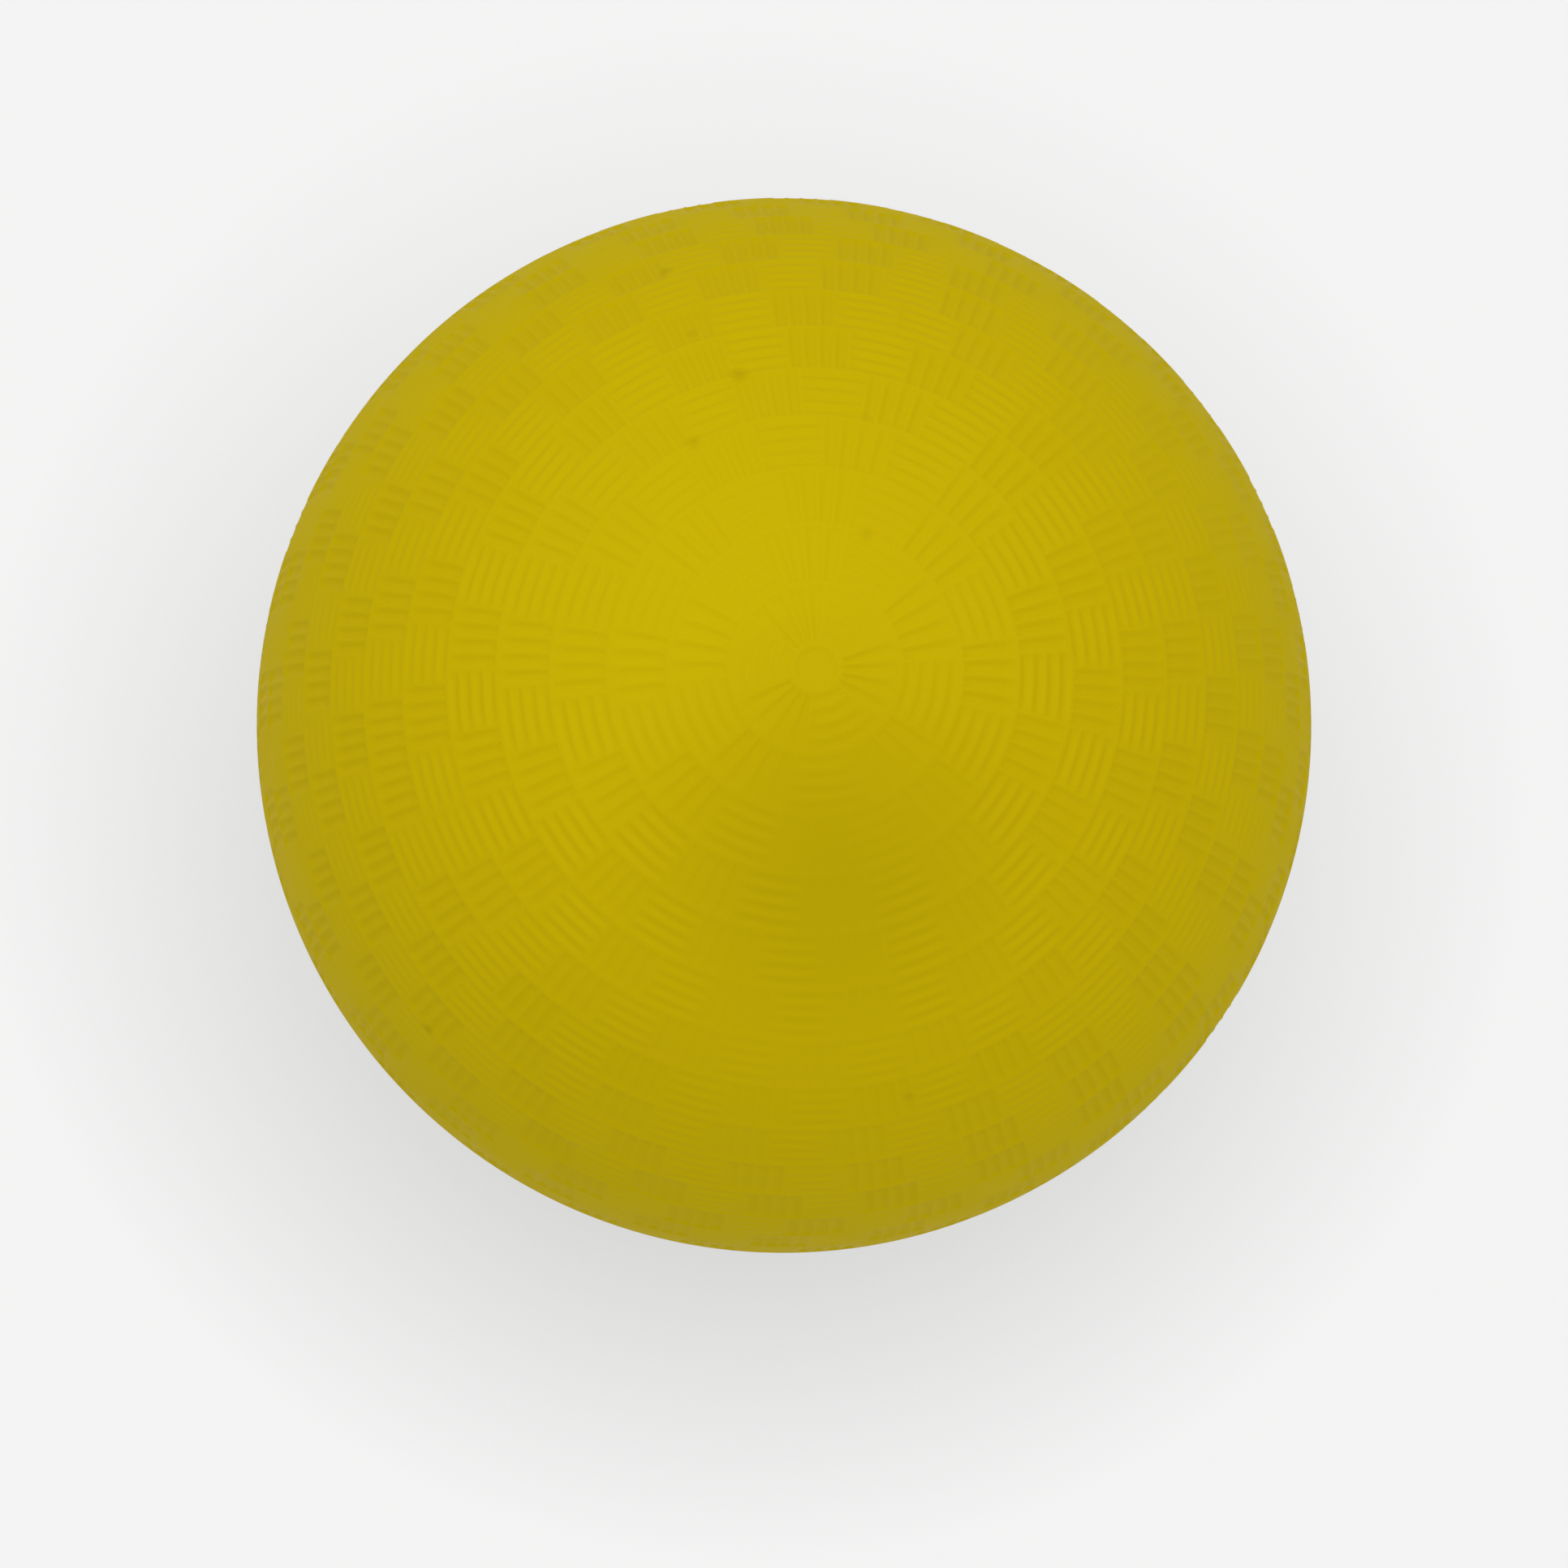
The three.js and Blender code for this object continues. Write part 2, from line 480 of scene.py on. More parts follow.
@dataclass
class CoverHalf:
    """One half of the moulded cover: woven skin, flash line and inner wall, as one closed shell.

    Args:
        half: Which half.
        ball: Sizes of the whole ball.
        weave: The weave on its skin.
        wall: Thickness of the cover.
        seam_lap: How far the inner edge lies past the seam, on the upper half, or short of it, on the lower.
        seam_gap: Gap between the halves.
        lip_clearance: How far the skived edge ends outside the inner wall, before the two are bridged.
        flash_width: Width of the flash line on this half.
        flash_height: How far the flash line stands proud.
        inner_rings: Rings of faces that a whole ball's inside would have.
        smooth_angle: Edges sharper than this stay sharp.
        bands: The skin's rings, laid out when the half is built.
    """

    half: Half
    ball: BallSizes
    weave: Weave
    wall: float = 2.0 * MM
    seam_lap: float = 2.0 * MM
    seam_gap: float = 0.04 * MM
    lip_clearance: float = 0.008 * MM
    flash_width: float = 0.25 * MM
    flash_height: float = 0.1 * MM
    inner_rings: int = 24
    smooth_angle: float = math.radians(65)
    bands: list[Band] = field(default_factory=list)

    def build(self) -> bpy.types.Object:
        """Models the half and puts it in its place.

        Returns:
            The finished half.
        """
        self.bands = self.plan_bands()
        rings = [self.woven_band(band) for band in self.bands]
        shell = join([self.pole_button(), *rings], f"{self.half.value}_moulding")
        self.close_gaps(shell)
        self.edge_and_line(shell)
        self.place(shell)
        return shell

    def plan_bands(self) -> list[Band]:
        """Lays out the skin's rings from the pole to the seam, where the last ring is cut in half.

        Returns:
            The rings in order.
        """
        weave = self.weave
        radius = self.ball.radius
        half_gap = weave.gap / 2 / radius
        seam = math.pi / 2 - self.flash_width / radius
        bands = []
        for place, ring in enumerate(weave.rings):
            top = weave.first_polar + place * weave.ring_span
            bottom = top + weave.ring_span
            whole = bottom < seam
            turn = ring.turn if self.half is Half.UPPER else -ring.turn - 360 / ring.squares
            bands.append(
                Band(
                    top=top + half_gap,
                    bottom=bottom - half_gap if whole else seam,
                    rows=weave.grooves if whole else weave.grooves // 2,
                    square=weave.grooves,
                    ring=ring,
                    turn=math.radians(turn),
                    radius=radius,
                    weave=weave,
                )
            )
        return bands

    def sink_grooves(self) -> None:
        """Sinks a rounded groove into every parted stretch of the open piece."""
        bpy.ops.mesh.select_all(action="SELECT")
        for step in self.weave.steps:
            bpy.ops.mesh.inset(
                thickness=step.inset,
                depth=-step.drop,
                use_boundary=True,
                use_even_offset=True,
                use_individual=False,
            )

    def woven_band(self, band: Band) -> bpy.types.Object:
        """Models one ring of the skin flat and wraps it on the ball.

        Args:
            band: The ring.

        Returns:
            The ring as a piece.
        """
        deselect_all()
        bpy.ops.mesh.primitive_grid_add(x_subdivisions=band.columns, y_subdivisions=band.rows, size=1)
        piece = bpy.context.object
        to_size = Matrix.Diagonal((band.length, band.height, 1, 1))
        piece.data.transform(to_size @ Matrix.Translation((0.5, 0.5, 0)))
        with editing(piece) as mesh:
            bpy.ops.mesh.select_all(action="DESELECT")
            for edge in mesh.edges:
                if not edge.is_boundary:
                    edge.select_set(band.parts_grooves(edge.verts[0].co, edge.verts[1].co))
            bpy.ops.mesh.edge_split(type="EDGE")
            self.sink_grooves()
        for vertex in piece.data.vertices:
            vertex.co = band.wrapped(vertex.co)
        with editing(piece):
            merge_doubles()
        return piece

    def pole_button(self) -> bpy.types.Object:
        """Models the small dished button at the pole.

        Returns:
            The button as a piece.
        """
        radius = self.ball.radius
        reach = radius * self.bands[0].top - self.weave.gap
        deselect_all()
        bpy.ops.mesh.primitive_circle_add(
            vertices=self.bands[0].columns, radius=reach, fill_type="NGON"
        )
        piece = bpy.context.object
        with editing(piece):
            self.sink_grooves()
        for vertex in piece.data.vertices:
            across = math.hypot(vertex.co.x, vertex.co.y)
            azimuth = math.atan2(vertex.co.y, vertex.co.x)
            land = on_ball(radius, across / radius, azimuth)
            vertex.co = land * (1 + vertex.co.z * self.weave.left_at(land) / radius)
        return piece

    @staticmethod
    def polar_of(point: Vector) -> float:
        """Angle of a point from the pole."""
        return math.atan2(math.hypot(point.x, point.y), point.z)

    def select_rims(self, shell: bpy.types.Object, polars: Sequence[float]) -> None:
        """Selects the open edges that lie at given angles from the pole, and nothing else.

        Args:
            shell: The half so far, open in edit mode.
            polars: The angles.
        """
        bpy.ops.mesh.select_all(action="DESELECT")
        for edge in bmesh.from_edit_mesh(shell.data).edges:
            if edge.is_boundary:
                polar = self.polar_of(edge.verts[0].co)
                off = min(abs(polar - rim) for rim in polars)
                edge.select_set(off < MERGE_REACH / self.ball.radius)

    def close_gaps(self, shell: bpy.types.Object) -> None:
        """Bridges the hair-wide gaps between the rings of the skin.

        Args:
            shell: The button and the rings, as one piece.
        """
        gap = self.weave.gap / self.ball.radius
        with editing(shell):
            for band in self.bands:
                self.select_rims(shell, (band.top, band.top - gap))
                bpy.ops.mesh.bridge_edge_loops()

    def edge_and_line(self, shell: bpy.types.Object) -> None:
        """Adds the raised flash line, the skived edge and the inner wall.

        The upper half's inner lip reaches below the seam, and the lower half's stays above it.

        Args:
            shell: The closed skin.
        """
        last = self.bands[-1]
        radius = self.ball.radius
        inner = radius - self.wall
        lip = -self.seam_lap if self.half is Half.UPPER else self.seam_lap
        half_seam = self.seam_gap / 2
        chain = [
            Vector((radius * math.sin(last.bottom), radius * math.cos(last.bottom))),
            Vector((radius + self.flash_height, self.flash_width / 2)),
            Vector((radius, half_seam)),
            Vector((math.sqrt(inner**2 - lip**2) + self.lip_clearance, lip + half_seam)),
        ]
        lining = self.inner_wall(last.columns, inner, lip + half_seam)
        shell = join([shell, lining], shell.name)
        with editing(shell):
            self.select_rims(shell, (last.bottom,))
            for before, after in zip(chain, chain[1:]):
                extrude_loop(before, after)
            bpy.ops.mesh.select_all(action="DESELECT")
            bpy.ops.mesh.select_non_manifold(
                extend=False,
                use_wire=False,
                use_boundary=True,
                use_multi_face=False,
                use_non_contiguous=False,
                use_verts=False,
            )
            bpy.ops.mesh.bridge_edge_loops()
            bpy.ops.mesh.select_all(action="SELECT")
            bpy.ops.mesh.normals_make_consistent(inside=False)

    def inner_wall(self, sides: int, radius: float, edge_height: float) -> bpy.types.Object:
        """Models the smooth inside of the half.

        Args:
            sides: Sides of a turn, as on the skin's last ring.
            radius: Radius of the inside.
            edge_height: Height of its open edge.

        Returns:
            The inside, looking inwards.
        """
        deselect_all()
        bpy.ops.mesh.primitive_uv_sphere_add(segments=sides, ring_count=self.inner_rings, radius=radius)
        lining = bpy.context.object
        with editing(lining):
            bpy.ops.mesh.select_all(action="SELECT")
            bpy.ops.mesh.bisect(plane_co=(0, 0, edge_height), plane_no=(0, 0, 1), clear_inner=True)
            bpy.ops.mesh.select_all(action="SELECT")
            bpy.ops.mesh.flip_normals()
        return lining

    def place(self, shell: bpy.types.Object) -> None:
        """Turns the lower half over, lifts the half to the ball's centre and flattens it on the floor.

        Args:
            shell: The half, modelled round the origin with its pole up.
        """
        if self.half is Half.LOWER:
            shell.data.transform(Matrix.Rotation(math.pi, 4, "X"))
        shell.data.transform(Matrix.Translation(self.ball.centre))
        for vertex in shell.data.vertices:
            vertex.co.z = max(vertex.co.z, 0.0)

    def finish(self, shell: bpy.types.Object, material: bpy.types.Material) -> None:
        """Shades the half, dresses it and ties it to the frame.

        Args:
            shell: The modelled half.
            material: The cover's rubber.
        """
        shade(shell, self.smooth_angle)
        dress(shell, material)
        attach(shell, BODY)
        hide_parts(self.half.value)


@dataclass
class Valve:
    """The needle valve: the pad and hole in the cover, and the self-sealing plug in it.

    Heights are along the valve's axis, from the ball's centre. An edge is a row of offsets from its
    corner, outwards and upwards.

    Args:
        ball: Sizes of the whole ball.
        drop: How far the valve's axis points below the horizontal.
        pad_diameter: Diameter of the smooth pad.
        pad_depth: How far the pad lies below the lands.
        pad_shares: Where the pad's outline has points between the hole and its own edge.
        pad_corner: Size of the rounding at the pad's edge.
        tool_overrun: How far the cutting tool stands out of the ball.
        fade_azimuth: The valve's side on the lower half before that is turned over, in degrees.
        fade_reach: How far round the valve the weave fades, in degrees.
        fade_amount: How much shallower the weave is in the middle of that.
        hole_diameter: Diameter of the hole.
        hole_bottom: Height of the cutting tool's end, inside the cover.
        mouth_round: Radius of the hole's mouth.
        mouth_steps: Steps of that rounding.
        head_diameter: Diameter of the plug's head.
        head_recess: How far the head lies below the pad.
        head_underside: Height of the head's underside.
        head_edge: The rounded rim of the head.
        neck_diameter: Diameter of the plug's neck and of its stem.
        neck_length: Length of the neck.
        barrel_diameter: Diameter of the barrel, which the housing's chamber traps.
        barrel_length: Length of the barrel.
        barrel_taper: Length of the barrel's tapered end.
        tip_start: Height at which the tip starts.
        tip_diameter: Diameter of the tip's end.
        tip_end: Height of the tip's end.
        funnel_diameter: Diameter of the needle's funnel.
        funnel_depth: Depth of the funnel.
        funnel_edge: The raised and rounded rim of the funnel.
        channel_diameter: Diameter of the needle's channel.
        channel_end: Height of the channel's blind end.
        throat_edge: The edge between the funnel and the channel.
        sides: Sides of a turn.
        smooth_angle: Edges sharper than this stay sharp.
    """

    ball: BallSizes
    drop: float = math.radians(25)
    pad_diameter: float = 22.0 * MM
    pad_depth: float = 0.4 * MM
    pad_shares: tuple[float, ...] = (0.3, 0.5, 0.7, 0.9)
    pad_corner: float = 0.3 * MM
    tool_overrun: float = 1.5 * MM
    fade_azimuth: float = 270.0
    fade_reach: float = 14.0
    fade_amount: float = 0.5
    hole_diameter: float = 8.6 * MM
    hole_bottom: float = 86.8 * MM
    mouth_round: float = 0.35 * MM
    mouth_steps: int = 4
    head_diameter: float = 8.0 * MM
    head_recess: float = 0.2 * MM
    head_underside: float = 87.6 * MM
    head_edge: tuple[Offset, ...] = ((0.0, -0.6 * MM), (-0.15 * MM, -0.25 * MM), (-0.55 * MM, 0.0))
    neck_diameter: float = 5.0 * MM
    neck_length: float = 5.6 * MM
    barrel_diameter: float = 7.4 * MM
    barrel_length: float = 5.4 * MM
    barrel_taper: float = 2.4 * MM
    tip_start: float = 69.7 * MM
    tip_diameter: float = 3.4 * MM
    tip_end: float = 66.2 * MM
    funnel_diameter: float = 3.4 * MM
    funnel_depth: float = 1.5 * MM
    funnel_edge: tuple[Offset, ...] = ((0.75 * MM, 0.05 * MM), (0.3 * MM, 0.0), (0.0, -0.25 * MM))
    channel_diameter: float = 1.6 * MM
    channel_end: float = 68.7 * MM
    throat_edge: tuple[Offset, ...] = ((0.15 * MM, 0.0), (0.0, -0.3 * MM))
    sides: int = 96
    smooth_angle: float = math.radians(40)

    @property
    def pad_radius(self) -> float:
        """Radius of the ball on the smooth pad."""
        return self.ball.radius - self.pad_depth

    @property
    def to_ball(self) -> Matrix:
        """From the valve's own frame, with Z outwards, to the ball's."""
        return Matrix.Translation(self.ball.centre) @ Matrix.Rotation(-math.pi / 2 - self.drop, 4, "X")

    @property
    def fade(self) -> Patch:
        """Where the weave fades round the pad, on the lower half before it is turned over."""
        polar = 90 - math.degrees(self.drop)
        return Patch(polar, self.fade_azimuth, self.fade_reach, self.fade_amount)

    def pad_height(self, across: float) -> float:
        """Height of the pad's round surface at a distance from the valve's axis."""
        return math.sqrt(self.pad_radius**2 - across**2)

    def on_pad(self, across: float) -> Vector:
        """The point of the pad's outline at a distance from the valve's axis."""
        return Vector((across, self.pad_height(across)))

    def cut(self, shell: bpy.types.Object) -> None:
        """Cuts the smooth pad and the valve hole into the lower cover.

        Args:
            shell: The lower cover.
        """
        hole = self.hole_diameter / 2
        pad = self.pad_diameter / 2
        corner = self.pad_corner
        nook = corner / 4
        outline = [
            Vector((hole, self.hole_bottom)),
            *self.mouth(),
            *(self.on_pad(hole + share * (pad - hole)) for share in self.pad_shares),
            self.on_pad(pad - corner),
            Vector((pad - nook, self.pad_height(pad) + nook)),
            Vector((pad, self.pad_height(pad) + corner)),
            Vector((pad + corner, self.ball.radius + self.tool_overrun)),
        ]
        tool = turned("valve_pad_tool", outline, self.sides)
        tool.data.transform(self.to_ball)
        pick(shell)
        cutter = shell.modifiers.new("valve_pad", "BOOLEAN")
        cutter.operation = "DIFFERENCE"
        cutter.solver = "MANIFOLD"
        cutter.object = tool
        bpy.ops.object.modifier_apply(modifier=cutter.name)
        bpy.data.objects.remove(tool)

    def mouth(self) -> list[Vector]:
        """Rounds the corner from the hole's wall out to the pad.

        Returns:
            The points of the rounding.
        """
        hole = self.hole_diameter / 2
        points = []
        for step in range(self.mouth_steps + 1):
            angle = math.pi / 2 * step / self.mouth_steps
            across = hole + self.mouth_round * (1 - math.cos(angle))
            height = self.pad_height(hole) - self.mouth_round * (1 - math.sin(angle))
            points.append(Vector((across, height)))
        return points

    @staticmethod
    def edge(across: float, height: float, offsets: Sequence[Offset]) -> list[Vector]:
        """The points of an edge round its corner, which is at a distance from the axis and a height."""
        return [Vector((across + out, height + up)) for out, up in offsets]

    def plug(self) -> bpy.types.Object:
        """Models the self-sealing plug with its needle channel.

        Returns:
            The plug in its place.
        """
        head = self.head_diameter / 2
        neck = self.neck_diameter / 2
        barrel = self.barrel_diameter / 2
        channel = self.channel_diameter / 2
        top = self.pad_radius - self.head_recess
        barrel_top = self.head_underside - self.neck_length
        barrel_bottom = barrel_top - self.barrel_length
        outline = [
            Vector((self.tip_diameter / 2, self.tip_end)),
            Vector((neck, self.tip_start)),
            Vector((neck, barrel_bottom)),
            Vector((barrel, barrel_bottom + self.barrel_taper)),
            Vector((barrel, barrel_top)),
            Vector((neck, barrel_top)),
            Vector((neck, self.head_underside)),
            Vector((head, self.head_underside)),
            *self.edge(head, top, self.head_edge),
            *self.edge(self.funnel_diameter / 2, top, self.funnel_edge),
            *self.edge(channel, top - self.funnel_depth, self.throat_edge),
            Vector((channel, self.channel_end)),
        ]
        piece = turned("valve_plug", outline, self.sides)
        piece.data.transform(self.to_ball)
        return piece

    def finish(self, piece: bpy.types.Object, material: bpy.types.Material) -> None:
        """Shades the plug, dresses it and ties it to the frame.

        Args:
            piece: The modelled plug.
            material: The plug's rubber.
        """
        shade(piece, self.smooth_angle)
        dress(piece, material)
        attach(piece, BODY)
        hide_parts("valve_insert")


@dataclass(frozen=True)
class Mottle:
    """A value that varies over a surface, by a noise.

    Args:
        scale: Cells of the noise to a metre.
        detail: Finer layers of the noise.
        target: The range that the value varies in.
        source: The range of the noise that is spread over it.
    """

    scale: float
    detail: float
    target: Range
    source: Range = (0.3, 0.7)


@dataclass(frozen=True)
class FineGrain:
    """The fine grain that a mould leaves on rubber.

    Args:
        scale: Cells of its noise to a metre.
        strength: How strongly it shows.
        detail: Finer layers of the noise.
        depth: Height of the grain.
    """

    scale: float
    strength: float
    detail: float = 2.0
    depth: float = 0.03 * MM


@dataclass
class NodeSheet:
    """A material's node tree, with short ways to add and link nodes.

    Args:
        name: Name of the material.
    """

    name: str

    def __post_init__(self) -> None:
        """Starts an empty tree with its output."""
        self.material = bpy.data.materials.new(self.name)
        self.material.use_nodes = True
        self.tree = self.material.node_tree
        self.tree.nodes.clear()
        self.output = self.tree.nodes.new("ShaderNodeOutputMaterial")

    def add(self, kind: str, **values: object) -> bpy.types.Node:
        """Adds a node and sets its properties.

        Args:
            kind: Node type, without its ShaderNode prefix.
            values: Properties of the node.

        Returns:
            The node.
        """
        node = self.tree.nodes.new(f"ShaderNode{kind}")
        for name, value in values.items():
            setattr(node, name, value)
        return node

    def link(self, source: Socket, target: Socket) -> None:
        """Links one socket to another."""
        self.tree.links.new(source, target)

    def place(self) -> Socket:
        """The point on the piece, in object coordinates."""
        return self.add("TexCoord").outputs["Object"]

    def noise(self, place: Socket, scale: float, detail: float) -> Socket:
        """Adds a noise.

        Args:
            place: The point on the piece.
            scale: Cells of the noise to a metre.
            detail: Finer layers of the noise.

        Returns:
            The noise's value.
        """
        node = self.add("TexNoise")
        node.inputs["Scale"].default_value = scale
        node.inputs["Detail"].default_value = detail
        self.link(place, node.inputs["Vector"])
        return node.outputs["Fac"]

    def span(self, value: Socket, source: Range, target: Range) -> Socket:
        """Maps one range of values on another, smoothly and clamped.

        Args:
            value: The value to map.
            source: The range that it comes from.
            target: The range that it goes to.

        Returns:
            The mapped value.
        """
        node = self.add("MapRange", interpolation_type="SMOOTHSTEP")
        for name, number in zip(RANGE_SOCKETS, (*source, *target)):
            node.inputs[name].default_value = number
        self.link(value, node.inputs["Value"])
        return node.outputs["Result"]

    def mottled(self, place: Socket, mottle: Mottle) -> Socket:
        """A value that varies over the surface."""
        noise = self.noise(place, mottle.scale, mottle.detail)
        return self.span(noise, mottle.source, mottle.target)

    def combine(self, how: Combine, first: Socket, second: Socket | float) -> Socket:
        """Puts two values together.

        Args:
            how: The way to do it.
            first: One value.
            second: The other, which may be a plain number.

        Returns:
            The result.
        """
        node = self.add("Math", operation=how.value)
        self.link(first, node.inputs[0])
        if isinstance(second, float):
            node.inputs[1].default_value = second
        else:
            self.link(second, node.inputs[1])
        return node.outputs["Value"]

    def distance(self, place: Socket, point: Vector) -> Socket:
        """Measures how far the surface is from a fixed point.

        Args:
            place: The point on the piece.
            point: The fixed point.

        Returns:
            The distance.
        """
        node = self.add("VectorMath", operation="DISTANCE")
        self.link(place, node.inputs[0])
        node.inputs[1].default_value = point
        return node.outputs["Value"]

    def blend(self, share: Socket, first: Socket | Colour, second: Socket | Colour) -> Socket:
        """Mixes two colours.

        Args:
            share: Share of the second colour.
            first: One colour.
            second: The other.

        Returns:
            The mixed colour.
        """
        node = self.add("Mix", data_type="RGBA")
        self.link(share, node.inputs[MIX_SHARE])
        for place, colour in ((MIX_FIRST, first), (MIX_SECOND, second)):
            if isinstance(colour, tuple):
                node.inputs[place].default_value = (*colour, 1.0)
            else:
                self.link(colour, node.inputs[place])
        return node.outputs[MIX_RESULT]

    def scaled(self, colour: Colour, share: Socket) -> Socket:
        """Makes a colour lighter or darker.

        Args:
            colour: The colour.
            share: What it is multiplied by.

        Returns:
            The new colour.
        """
        node = self.add("VectorMath", operation="SCALE")
        node.inputs[0].default_value = colour
        self.link(share, node.inputs["Scale"])
        return node.outputs["Vector"]

    def shader(self) -> bpy.types.Node:
        """Adds the surface shader and links it to the output.

        Returns:
            The shader.
        """
        node = self.add("BsdfPrincipled")
        self.link(node.outputs["BSDF"], self.output.inputs["Surface"])
        return node

    def roughen(self, shader: bpy.types.Node, place: Socket, grain: FineGrain) -> None:
        """Gives a shader's surface a fine grain.

        Args:
            shader: The surface shader.
            place: The point on the piece.
            grain: The grain.
        """
        node = self.add("Bump")
        node.inputs["Strength"].default_value = grain.strength
        node.inputs["Distance"].default_value = grain.depth
        self.link(self.noise(place, grain.scale, grain.detail), node.inputs["Height"])
        self.link(node.outputs["Normal"], shader.inputs["Normal"])


@dataclass(frozen=True)
class CoverRubber:
    """Matte yellow moulded rubber: a little uneven in tone, with painted shade and a painted highlight near
    the pole, and a few dark specks.

    Args:
        ball: Sizes of the whole ball.
        base: Its colour.
        speck: Colour of the specks.
        specular: Its gloss level.
        tone: How its tone varies all over.
        roughness: How its roughness varies.
        grain: Its fine grain.
        painted_light_patches: Painted light in the base colour: paler patches of painted highlight, or
            darker patches of painted shade where the amount is negative.
        specks: Small dark marks.
    """

    ball: BallSizes
    base: Colour = (0.605, 0.459, 0.0015)
    speck: Colour = (0.2, 0.15, 0.003)
    specular: float = 0.009
    tone: Mottle = Mottle(scale=26.0, detail=3.0, target=(0.995, 1.005))
    roughness: Mottle = Mottle(scale=160.0, detail=3.0, target=(0.48, 0.58))
    grain: FineGrain = FineGrain(scale=2400.0, strength=0.25)
    # Painted light: a darker patch of painted shade beside the pole, and a broad paler patch of painted
    # highlight round it on the other side.
    painted_light_patches: tuple[Patch, ...] = (
        Patch(polar=17.3, azimuth=274.0, reach=26.5, amount=-0.15),
        Patch(polar=11.0, azimuth=140.0, reach=51.7, amount=0.07),
    )
    specks: tuple[Patch, ...] = (
        Patch(polar=32.8, azimuth=103.1, reach=1.4, amount=0.22),
        Patch(polar=26.7, azimuth=117.0, reach=1.2, amount=0.17),
        Patch(polar=52.4, azimuth=108.0, reach=1.2, amount=0.21),
        Patch(polar=40.3, azimuth=108.2, reach=1.1, amount=0.13),
        Patch(polar=62.7, azimuth=221.8, reach=1.1, amount=0.24),
        Patch(polar=47.6, azimuth=284.3, reach=1.0, amount=0.13),
        Patch(polar=27.1, azimuth=78.3, reach=1.0, amount=0.09),
        Patch(polar=14.4, azimuth=69.2, reach=1.1, amount=0.12),
    )

    def near(self, sheet: NodeSheet, place: Socket, patch: Patch, target: Range) -> Socket:
        """A value that goes from one number in a patch's middle to another at its edge."""
        middle = self.ball.centre + patch.middle(self.ball.radius)
        return sheet.span(sheet.distance(place, middle), (0.0, patch.span(self.ball.radius)), target)

    def material(self) -> bpy.types.Material:
        """Makes the cover's material.

        Returns:
            The material.
        """
        sheet = NodeSheet("cover_rubber")
        place = sheet.place()
        tone = sheet.mottled(place, self.tone)
        # Paints the painted shade and the painted highlight into the base colour.
        for patch in self.painted_light_patches:
            painted_light = self.near(sheet, place, patch, (1 + patch.amount, 1.0))
            tone = sheet.combine(Combine.PRODUCT, tone, painted_light)
        colour = sheet.scaled(self.base, tone)
        for patch in self.specks:
            share = self.near(sheet, place, patch, (patch.amount, 0.0))
            colour = sheet.blend(share, colour, self.speck)
        shader = sheet.shader()
        sheet.link(colour, shader.inputs["Base Color"])
        sheet.link(sheet.mottled(place, self.roughness), shader.inputs["Roughness"])
        shader.inputs["Specular IOR Level"].default_value = self.specular
        sheet.roughen(shader, place, self.grain)
        return sheet.material


@dataclass(frozen=True)
class PlainRubber:
    """Plain moulded rubber in one colour, with a fine grain and a dusty bloom.

    Args:
        name: Name of the material.
        base: Its colour.
        bloom: Colour of the dusty bloom on it.
        roughness: How its roughness varies.
        dust: Share of the bloom, as it varies.
        specular: Its gloss level.
        grain: Its fine grain.
    """

    name: str
    base: Colour
    bloom: Colour
    roughness: Mottle
    dust: Mottle = Mottle(scale=220.0, detail=4.0, target=(0.0, 0.5), source=(0.4, 0.75))
    specular: float = 0.3
    grain: FineGrain = FineGrain(scale=3000.0, strength=0.2)

    def material(self) -> bpy.types.Material:
        """Makes the rubber's material.

        Returns:
            The material.
        """
        sheet = NodeSheet(self.name)
        place = sheet.place()
        colour = sheet.blend(sheet.mottled(place, self.dust), self.base, self.bloom)
        shader = sheet.shader()
        sheet.link(colour, shader.inputs["Base Color"])
        sheet.link(sheet.mottled(place, self.roughness), shader.inputs["Roughness"])
        shader.inputs["Specular IOR Level"].default_value = self.specular
        sheet.roughen(shader, place, self.grain)
        return sheet.material


INSERT_RUBBER = PlainRubber(
    "insert_rubber",
    base=(0.42, 0.33, 0.05),
    bloom=(0.5, 0.42, 0.15),
    roughness=Mottle(scale=400.0, detail=2.0, target=(0.45, 0.6)),
)
BLADDER_RUBBER = PlainRubber(
    "bladder_rubber",
    base=(0.017, 0.017, 0.017),
    bloom=(0.09, 0.09, 0.085),
    roughness=Mottle(scale=400.0, detail=2.0, target=(0.4, 0.6)),
)
HOUSING_RUBBER = PlainRubber(
    "housing_rubber",
    base=(0.024, 0.022, 0.021),
    bloom=(0.08, 0.078, 0.075),
    roughness=Mottle(scale=400.0, detail=2.0, target=(0.5, 0.65)),
)


@dataclass(frozen=True)
class SoftLamp:
    """A round soft lamp that looks at the ball.

    Args:
        name: Name of the lamp.
        energy: Its power in watts.
        tilt: Its angle off the camera's line of sight, in degrees.
        bearing: Its angle round that line, from the picture's right, in degrees.
        size: Its diameter.
        distance: Its distance from the ball's centre.
    """

    name: str
    energy: float
    tilt: float
    bearing: float
    size: float = 1.16
    distance: float = 1.6

    def hang(self, centre: Vector, facing: Matrix) -> None:
        """Hangs the lamp at its angles.

        Args:
            centre: The ball's centre.
            facing: Right, up and back of a camera that looks at it, as columns.
        """
        data = bpy.data.lights.new(self.name, "AREA")
        data.shape = "DISK"
        data.size = self.size
        data.energy = self.energy
        lamp = bpy.data.objects.new(self.name, data)
        bpy.context.scene.collection.objects.link(lamp)
        place = facing @ on_ball(self.distance, math.radians(self.tilt), math.radians(self.bearing))
        lamp.location = centre + place
        lamp.rotation_euler = place.to_track_quat("Z", "Y").to_euler()


